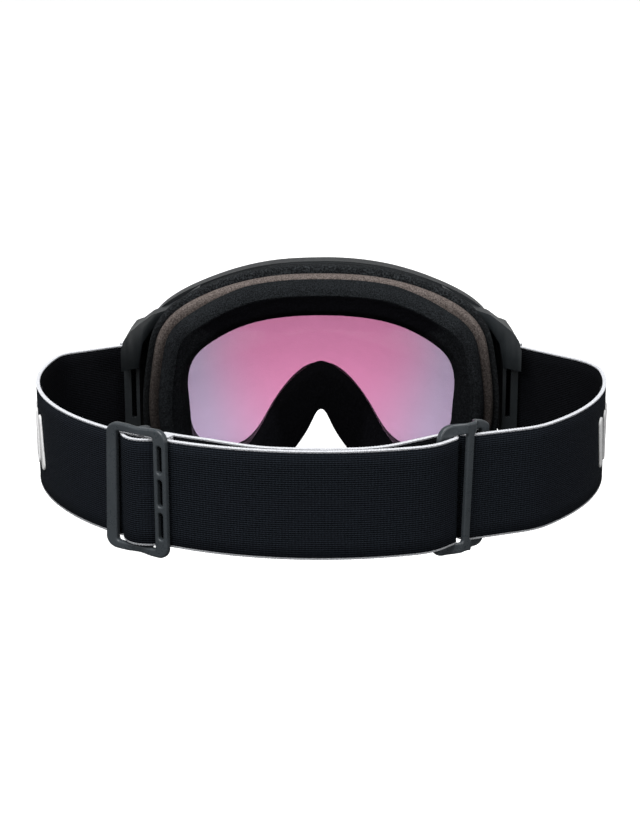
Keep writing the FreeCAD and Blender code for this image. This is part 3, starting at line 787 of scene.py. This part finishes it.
def band_piece(name, points, headings, half_thick=HALF_THICK, outward=-1, place=None):
    """Webbing swept along a plan route, with its cloth map and its edge and inner marks.

    outward says which side of the route the outer face is on: -1 right of it, 1 left. A route
    without a place is in the strap's plan; one with a place is in a slider's own frame.
    """
    section = band_section(STRAP_HALF_HEIGHT, half_thick, BAND_ACROSS)
    spots = np.array(points, float)
    h = np.radians(np.array(headings, float))
    normal = np.column_stack([-np.sin(h), np.cos(h)]) * outward
    run = np.concatenate([[0], np.cumsum(np.linalg.norm(np.diff(spots, axis=0), axis=1))])
    rows = np.zeros((len(spots), len(section), 3))
    uv = np.zeros((len(spots), len(section), 2))
    for j, (o, z, edge, _) in enumerate(section):
        phase = 1.5 if z > 0 else 0.0
        wobble = np.sin(run * math.tau / STITCH_PITCH + phase) * STITCH_BUMP * edge
        reach = o + wobble * np.sign(o)
        rows[:, j, 0] = spots[:, 0] + normal[:, 0] * reach
        rows[:, j, 1] = spots[:, 1] + normal[:, 1] * reach
        rows[:, j, 2] = z + wobble * np.sign(z)
        uv[:, j, 0] = run * MM
        uv[:, j, 1] = z * MM
    if place is None:
        rows[:, :, 2] += STRAP_Z
    mesh = grid_mesh(name, rows * MM, False, True, uv)
    point_value(mesh, "edge", np.tile([row[2] for row in section], len(spots)))
    point_value(mesh, "inner", np.tile([row[3] for row in section], len(spots)))
    mesh.transform(droop_matrix() if place is None else place)
    if place is not None and place.determinant() < 0:
        mesh.flip_normals()
    return mesh, run[-1] * MM


def finish_band(name, mesh, nodes_out, body=None, wing=None):
    """The webbing as a piece. wing is the side of the strap it lies on; where it is given, the
    piece's placing is baked into its mesh.
    """
    piece = new_object(name, mesh, body, "webbing", WEBBING)
    if wing is not None:
        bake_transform(piece)
    if nodes_out:
        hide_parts(*nodes_out)


mesh, length = band_piece("webbing_long", long_path.points, long_path.headings)
finish_band("webbing_long", mesh, ["strap_end_left", "strap_long"], wing=-1)
mesh, length = band_piece("webbing_short", short_path.points, short_path.headings, outward=1)
finish_band("webbing_short", mesh, ["strap_end_right", "strap_short"], wing=1)

# the loop sewn round the left slider's centre bar, and the webbing that humps over that slider
LOOP_END = 9.0
LOOP_MIDDLE = -3.6
LOOP_RADIUS = 1.85
LOOP_EASE = (4.0, 35.0)
loop_path = Route(LOOP_END, LOOP_MIDDLE - LOOP_RADIUS, 180)
loop_path.line(LOOP_END + 1).turn(LOOP_RADIUS, -180).line(1.0)
loop_path.turn(LOOP_EASE[0], -LOOP_EASE[1]).line(1.43).turn(LOOP_EASE[0], LOOP_EASE[1])
loop_path.line(LOOP_END - loop_path.x)
mesh, length = band_piece("webbing_loop", loop_path.points, loop_path.headings, outward=1,
                          place=left_place)
finish_band("webbing_loop", mesh, ["strap_loop_left"], body="left_slider")

HUMP_SPAN = (-9.4, 6.9)
HUMP_RISE = 4.6
hump_share = np.linspace(0, 1, 60)
hump_x = HUMP_SPAN[0] + (HUMP_SPAN[1] - HUMP_SPAN[0]) * hump_share
hump_y = 0.1 + HUMP_RISE * np.sin(math.pi * hump_share) ** 0.75
hump_heading = np.degrees(np.arctan2(np.gradient(hump_y), np.gradient(hump_x)))
mesh, length = band_piece("webbing_hump", list(zip(hump_x, hump_y)), hump_heading,
                          half_thick=0.5, outward=1, place=left_place)
finish_band("webbing_hump", mesh, [], body="left_slider")


# ---- sliders ------------------------------------------------------------------------------------
SLIDER_HALF = (12.5, 23.9)
SLIDER_WINDOW = 20.9
CORNER_RADIUS = 4.0
END_DIP = 0.5
PLAIN_BAR = 4.0
SLOTTED_BAR = 5.5
PLATE_BEVEL = 0.45
SKIN_VOXEL = 0.0003
SKIN_ROUNDS = 3
BAR_W = (1.1, 3.4)
CENTRE_W = (-4.4, -2.8)
CENTRE_HALF = 1.6
STEM_DEPTH = -2.5
STEM_FADE = (1.8, 3.0)
STEM_THINNING = 0.25
CRANKED_SHIFT = 1.2
CRANKED_ENDS = (24.4, 20.3)
CRANKED_LEAN = 0.85
CRANKED_ARCH = (0.9, 1.7)
CRANKED_TAPER = 0.45
LEFT_STRETCH = (2.6, 0.9)
SLOT_HALF = (1.05, 5.05)
SLOT_PITCH = 12.4
SLOT_RISE = 0.6


def rounded_box(low, high, radius, corner_steps=6):
    """A rectangle with round corners, anticlockwise from the lower right."""
    points = []
    for cx, cz, start in ((high[0], low[1], -90), (high[0], high[1], 0), (low[0], high[1], 90),
                          (low[0], low[1], 180)):
        sx = -1 if cx == high[0] else 1
        sz = 1 if cz == low[1] else -1
        for k in range(corner_steps + 1):
            a = math.radians(start + 90 * k / corner_steps)
            points.append((cx + sx * radius + radius * math.cos(a),
                           cz + sz * radius + radius * math.sin(a)))
    return points


def plate_mesh(name, loops, thickness, bevel):
    """A plate with holes, its edges rounded, from closed loops in x and z (mm)."""
    curve = bpy.data.curves.new(name, "CURVE")
    curve.dimensions = "2D"
    curve.fill_mode = "BOTH"
    curve.extrude = (thickness / 2 - bevel) * MM
    curve.bevel_depth = bevel * MM
    curve.offset = -bevel * MM
    curve.bevel_resolution = 3
    for loop in loops:
        spline = curve.splines.new("POLY")
        spline.points.add(len(loop) - 1)
        for point, (x, z) in zip(spline.points, loop):
            point.co = (x * MM, z * MM, 0, 1)
        spline.use_cyclic_u = True
    holder = bpy.data.objects.new(name, curve)
    bpy.context.scene.collection.objects.link(holder)
    mesh = bpy.data.meshes.new_from_object(holder.evaluated_get(
        bpy.context.evaluated_depsgraph_get()))
    bpy.data.objects.remove(holder)
    mesh.transform(Matrix.Rotation(math.radians(90), 4, "X"))
    work = bmesh.new()
    work.from_mesh(mesh)
    bmesh.ops.remove_doubles(work, verts=work.verts, dist=2e-6)
    bmesh.ops.recalc_face_normals(work, faces=work.faces)
    work.to_mesh(mesh)
    work.free()
    return mesh


def wavy(loop, dip):
    """The loop with its long ends dipping a little between the two bars."""
    moved = []
    for x, z in loop:
        moved.append((x, z - math.copysign(dip, z) * math.exp(-(x / 3.4) ** 2)))
    return moved


def split_long(loop, pitch=0.8):
    out = []
    for a, b in zip(loop, loop[1:] + loop[:1]):
        out += between(a, b, max(1, round(math.hypot(b[0] - a[0], b[1] - a[1]) / pitch)))
    return out


def even_skin(mesh, voxel, rounds):
    """The closed mesh rebuilt as a fine, even skin with its edges eased."""
    holder = bpy.data.objects.new("skin", mesh)
    bpy.context.scene.collection.objects.link(holder)
    skin = holder.modifiers.new("skin", "REMESH")
    skin.mode = "VOXEL"
    skin.voxel_size = voxel
    ease = holder.modifiers.new("ease", "SMOOTH")
    ease.iterations = rounds
    even = bpy.data.meshes.new_from_object(holder.evaluated_get(
        bpy.context.evaluated_depsgraph_get()))
    bpy.data.objects.remove(holder)
    even.name = mesh.name
    return even


def slider_piece(name, node, body, place, cranked):
    """The plate with its bars and slots. cranked bends its stem outwards, clear of the webbing."""
    half_x, half_z = SLIDER_HALF
    window_z = SLIDER_WINDOW
    shift = 0.0
    if cranked:
        shift = -CRANKED_SHIFT
        half_z, window_z = CRANKED_ENDS
    low, high = shift - half_x, shift + half_x
    outline = rounded_box((low, -half_z), (high, half_z), CORNER_RADIUS)
    loops = [wavy(split_long(outline), END_DIP)]
    bars = (low + PLAIN_BAR, high - SLOTTED_BAR)
    windows = [(bars[0], -CENTRE_HALF), (CENTRE_HALF, bars[1])] if cranked else [bars]
    for left, right in windows:
        opening = rounded_box((left, -window_z), (right, window_z), 0.9)
        loops.append(split_long(opening))
    x = high - SLOTTED_BAR / 2
    for i in (-1, 0, 1):
        z = i * SLOT_PITCH + SLOT_RISE
        slot = rounded_box((x - SLOT_HALF[0], z - SLOT_HALF[1]),
                           (x + SLOT_HALF[0], z + SLOT_HALF[1]), SLOT_HALF[0] - 0.02)
        loops.append(split_long(slot))
    plate = plate_mesh(name, loops, BAR_W[1] - BAR_W[0], PLATE_BEVEL)
    mesh = even_skin(plate, SKIN_VOXEL, SKIN_ROUNDS)
    middle = sum(BAR_W) / 2
    spots = np.zeros(len(mesh.vertices) * 3)
    mesh.vertices.foreach_get("co", spots)
    spots = spots.reshape(-1, 3) / MM
    x, z = spots[:, 0].copy(), spots[:, 2].copy()
    if cranked:
        share = np.exp(-(np.maximum(np.abs(x) - STEM_FADE[0], 0) / STEM_FADE[1]) ** 2)
        spots[:, 0] -= CRANKED_LEAN * z / half_z
        spots[:, 1] *= 1 - STEM_THINNING * share
        spots[:, 1] += middle + (STEM_DEPTH - middle) * share
        ends = (x / half_x) ** 2
        spots[:, 2] += CRANKED_ARCH[0] * share - (z > 0) * (x > 0) * CRANKED_ARCH[1] * ends
        spots[:, 2] -= (x < 0) * CRANKED_TAPER * ends * np.maximum(z - window_z, 0)
    else:
        stretch = LEFT_STRETCH[0] - LEFT_STRETCH[1] * z / half_z
        spots[:, 0] += np.minimum(x, 0) / half_x * stretch
        spots[:, 1] += middle
    mesh.vertices.foreach_set("co", (spots * MM).ravel())
    mesh.transform(place)
    if place.determinant() < 0:
        mesh.flip_normals()
    mesh.polygons.foreach_set("use_smooth", [True] * len(mesh.polygons))
    piece = new_object(name, mesh, body, "slider_black", SLIDER_PLASTIC)
    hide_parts(node)


def centre_bar(name, body, place):
    """The left slider's centre bar, cranked inwards behind the webbing."""
    rows = []
    half_z = SLIDER_WINDOW + 1.6
    low, high = CENTRE_W
    route = [(half_z, BAR_W[0] + 0.6), (half_z, 0.0), (half_z - 0.3, -2.6), (half_z - 1.6, -3.6)]
    full = route + [(-z, w) for z, w in route[::-1]]
    for k, (z, w) in enumerate(full):
        thick = (high - low) / 2
        upright = 0 < k < len(full) - 1 and abs(z) < half_z - 1.0
        ring = []
        for a in range(16):
            angle = math.tau * a / 16
            x = CENTRE_HALF * math.copysign(abs(math.cos(angle)) ** 0.6, math.cos(angle))
            s = thick * math.copysign(abs(math.sin(angle)) ** 0.6, math.sin(angle))
            ring.append((x, w + s, z) if upright else (x, w, z + s * math.copysign(1, z)))
        rows.append(ring)
    mesh = grid_mesh(name, np.array(rows) * MM, False, True)
    mesh.transform(place)
    new_object(name, mesh, body, "slider_black", SLIDER_PLASTIC)


slider_piece("adjuster_left", "slider_left", "left_slider", left_place, False)
centre_bar("adjuster_left_centre_bar", "left_slider", left_place)
slider_piece("adjuster_right", "slider_right", "right_slider", right_place, True)


# ---- raised print and silicone beads on the strap -----------------------------------------------
MARK_CORNER = 0.45
MARK_PROFILE = ((0.0, -0.15), (0.0, 0.35), (0.12, 0.7), (0.35, 0.92), (0.8, 1.0))


def mark_rows(width, height, proud, slant):
    """A pillowed, slanted bar as rings of points from its rim to its crown, mm."""
    rings = []
    for inset, rise in MARK_PROFILE:
        ring = []
        outline = rounded_box((-width / 2 + inset, -height / 2 + inset),
                              (width / 2 - inset, height / 2 - inset),
                              max(0.1, width * MARK_CORNER - inset), 5)
        for x, z in outline:
            s = math.radians(slant)
            ring.append((x * math.cos(s) + z * math.sin(s), rise * proud,
                         -x * math.sin(s) + z * math.cos(s)))
        rings.append(ring)
    return rings


def marks_piece(name, node, slot_name, material, side, angles, size, proud, slant, radius, out):
    """Bars that follow the curve of the webbing. out is 1 on its outer face, -1 on its inner."""
    work = bmesh.new()
    for angle in angles:
        rings = []
        for ring in mark_rows(size[0], size[1], proud, slant):
            row = []
            for x, y, z in ring:
                a = math.radians(180 + side * angle) + math.radians(90) - x / radius
                reach = radius + out * y
                row.append(work.verts.new((reach * math.cos(a) * MM,
                                           (ARC_CENTRE_Y + reach * math.sin(a)) * MM,
                                           (STRAP_Z + z) * MM)))
            rings.append(row)
        for low, high in zip(rings, rings[1:]):
            for k in range(len(low)):
                m = (k + 1) % len(low)
                work.faces.new((low[k], low[m], high[m], high[k]))
        work.faces.new(rings[-1])
        work.faces.new(rings[0][::-1])
    bmesh.ops.recalc_face_normals(work, faces=work.faces)
    for face_ in work.faces:
        face_.smooth = True
    mesh = bpy.data.meshes.new(name)
    work.to_mesh(mesh)
    work.free()
    mesh.transform(droop_matrix())
    piece = new_object(name, mesh, "strap", slot_name, material)
    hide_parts(node)


PRINT_ANGLES = (71, 76.5, 82, 87.5)
PRINT_SIZE = (5.0, 22.0)
PRINT_PROUD = 0.75
PRINT_SLANT = 14.0
BEAD_ANGLES = range(58, 87, 4)
BEAD_SIZE = (1.4, 30.0)
BEAD_PROUD = 0.55
for wing, side in (("left", -1), ("right", 1)):
    marks_piece("print_bars_" + wing, "strap_print_" + wing, "white_print", PRINT, side,
                PRINT_ANGLES, PRINT_SIZE, PRINT_PROUD, PRINT_SLANT, ARC_RADIUS + HALF_THICK, 1)
    marks_piece("grip_beads_" + wing, "strap_grip_" + wing, "silicone_bead", BEADS, side,
                BEAD_ANGLES, BEAD_SIZE, BEAD_PROUD, 0.0, ARC_RADIUS - HALF_THICK, -1)


# ---- stage, light and camera --------------------------------------------------------------------
FLOOR_HALF = 400.0
FLOOR_GLOW = 0.35
SKY = ((0.0, 0.04), (0.47, 0.04), (0.49, 1.0), (0.55, 0.9), (0.66, 0.16), (1.0, 0.16))
CAMERA_PLACE = (-0.0005, -0.6548, 0.2154)
CAMERA_TILT = 13.93
CAMERA_LENS = 72.4
SENSOR_WIDTH = 36.0


def stage():
    """A pale floor that bounces no light on to the object, and a sky that is bright low down."""
    mesh = bpy.data.meshes.new("floor")
    half = FLOOR_HALF
    mesh.from_pydata([(-half, -half, 0), (half, -half, 0), (half, half, 0), (-half, half, 0)], [],
                     [(0, 1, 2, 3)])
    floor = bpy.data.objects.new("floor", mesh)
    bpy.context.scene.collection.objects.link(floor)
    n = Nodes("floor_paint")
    tone = n.ramp(n.noise(6.0, 2.0), [(0.3, (0.9, 0.9, 0.9)), (0.7, (0.92, 0.92, 0.92))])
    mesh.materials.append(n.finish(Base_Color=tone, Roughness=0.9, Specular_IOR_Level=0.0,
                                   Emission_Color=tone, Emission_Strength=FLOOR_GLOW))
    floor.visible_diffuse = False
    floor.visible_glossy = False
    world = bpy.data.worlds.new("studio")
    world.use_nodes = True
    tree = world.node_tree
    place = tree.nodes.new("ShaderNodeTexCoord")
    split = tree.nodes.new("ShaderNodeSeparateXYZ")
    height = tree.nodes.new("ShaderNodeMapRange")
    height.inputs["From Min"].default_value = -1.0
    ramp = tree.nodes.new("ShaderNodeValToRGB")
    while len(ramp.color_ramp.elements) < len(SKY):
        ramp.color_ramp.elements.new(0.5)
    for element, (position, value) in zip(ramp.color_ramp.elements, SKY):
        element.position = position
        element.color = shade(value)
    tree.links.new(place.outputs["Generated"], split.inputs[0])
    tree.links.new(split.outputs[2], height.inputs["Value"])
    tree.links.new(height.outputs[0], ramp.inputs[0])
    tree.links.new(ramp.outputs[0], tree.nodes["Background"].inputs[0])
    bpy.context.scene.world = world


def overhead(name, aim, strength, spread):
    """A broad soft light from high up, like the ceiling of a light tent."""
    data = bpy.data.lights.new(name, "SUN")
    data.energy = strength
    data.angle = math.radians(spread)
    lamp = bpy.data.objects.new(name, data)
    bpy.context.scene.collection.objects.link(lamp)
    lamp.rotation_euler = Vector(aim).to_track_quat("-Z", "Y").to_euler()


def softbox(name, place, aim, size, power):
    data = bpy.data.lights.new(name, "AREA")
    data.shape = "RECTANGLE"
    data.size, data.size_y = size
    data.energy = power
    lamp = bpy.data.objects.new(name, data)
    bpy.context.scene.collection.objects.link(lamp)
    lamp.location = place
    lamp.rotation_euler = (Vector(aim) - Vector(place)).to_track_quat("-Z", "Y").to_euler()


def camera():
    data = bpy.data.cameras.new("camera")
    data.lens = CAMERA_LENS
    data.sensor_width = SENSOR_WIDTH
    holder = bpy.data.objects.new("camera", data)
    bpy.context.scene.collection.objects.link(holder)
    holder.location = CAMERA_PLACE
    holder.rotation_euler = (math.radians(90 - CAMERA_TILT), 0, 0)
    bpy.context.scene.camera = holder


stage()
overhead("ceiling", (0.12, 0.25, -1.0), 3.2, 50.0)
softbox("key", (-0.45, -0.75, 0.65), (0, -0.02, 0.05), (0.6, 0.5), 5.0)
softbox("fill", (0.75, -0.55, 0.35), (0, -0.02, 0.05), (0.5, 0.5), 2.0)
camera()
bpy.context.scene.view_settings.view_transform = "Standard"
